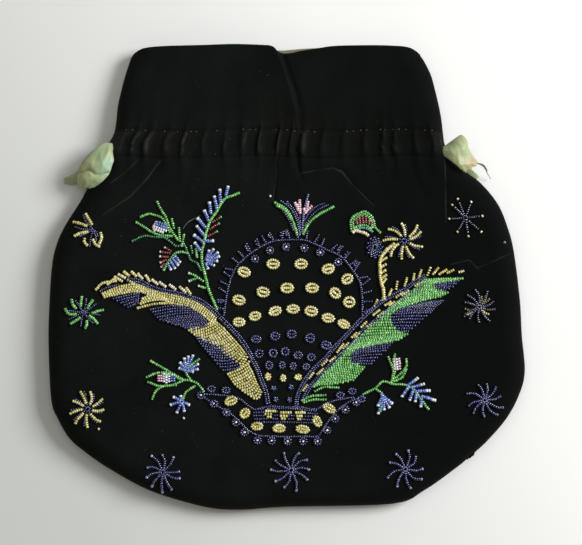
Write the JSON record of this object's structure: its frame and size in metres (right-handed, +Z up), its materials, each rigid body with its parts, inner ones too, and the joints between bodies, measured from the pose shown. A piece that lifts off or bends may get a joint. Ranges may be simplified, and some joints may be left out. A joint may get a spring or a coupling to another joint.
{
  "type": "reticule",
  "caption": "Small flat velvet drawstring bag with a gathered frill, two ribbon drawstrings and flowers in seed beads on its front, lying on its back.",
  "frame": {"origin": "centre of the bag's plan, on the surface that it lies on", "axes": "+X across the bag, +Y towards its mouth, +Z up from the back to the beaded front"},
  "size_m": [0.2031, 0.199, 0.0143],
  "materials": {
    "velvet": "black silk velvet, matt pile",
    "lining": "olive beige silk",
    "ribbon": "pale green silk ribbon, crumpled",
    "gold_beads": "gold glass seed beads",
    "navy_beads": "dark blue glass seed beads",
    "green_beads": "green glass seed beads",
    "brown_beads": "dull brown glass seed beads"
  },
  "bodies": {
    "root": {"velvet_front": "velvet", "velvet_back": "velvet", "lining_front": "lining", "lining_back": "lining", "drawstring_left": "ribbon", "drawstring_right": "ribbon", "arch": "navy_beads", "basket": "navy_beads", "basket_oval_1": "gold_beads", "basket_oval_2": "gold_beads", "basket_oval_3": "gold_beads", "basket_oval_4": "gold_beads", "basket_oval_5": "gold_beads", "basket_oval_6": "gold_beads", "basket_oval_7": "gold_beads", "gold_rosette_1": "gold_beads", "gold_rosette_10": "gold_beads", "gold_rosette_11": "gold_beads", "gold_rosette_12": "gold_beads", "gold_rosette_13": "gold_beads", "gold_rosette_14": "gold_beads", "gold_rosette_15": "gold_beads", "gold_rosette_16": "gold_beads", "gold_rosette_17": "gold_beads", "gold_rosette_18": "gold_beads", "gold_rosette_2": "gold_beads", "gold_rosette_3": "gold_beads", "gold_rosette_4": "gold_beads", "gold_rosette_5": "gold_beads", "gold_rosette_6": "gold_beads", "gold_rosette_7": "gold_beads", "gold_rosette_8": "gold_beads", "gold_rosette_9": "gold_beads", "gold_twig": "gold_beads", "left_plume_gold": "gold_beads", "left_plume_navy_foot": "navy_beads", "left_plume_navy_middle": "navy_beads", "left_plume_navy_tip": "navy_beads", "left_plume_spine": "navy_beads", "right_plume_green": "green_beads", "right_plume_leaf": "green_beads", "right_plume_navy_foot": "navy_beads", "right_plume_navy_middle": "navy_beads", "right_plume_navy_tip": "navy_beads", "right_plume_spine": "navy_beads", "sprig_lower_left": "green_beads", "sprig_lower_right": "green_beads", "sprig_upper_left": "green_beads", "star_brown_right": "brown_beads", "star_gold_lower_left": "gold_beads", "star_gold_right": "gold_beads", "star_gold_upper_left": "gold_beads", "star_green_left": "green_beads", "star_navy_bottom": "navy_beads", "star_navy_bottom_left": "navy_beads", "star_navy_bottom_right": "navy_beads", "star_navy_lower_right": "navy_beads", "star_navy_upper_right": "navy_beads", "tulip": "green_beads"}
  },
  "joints": []
}
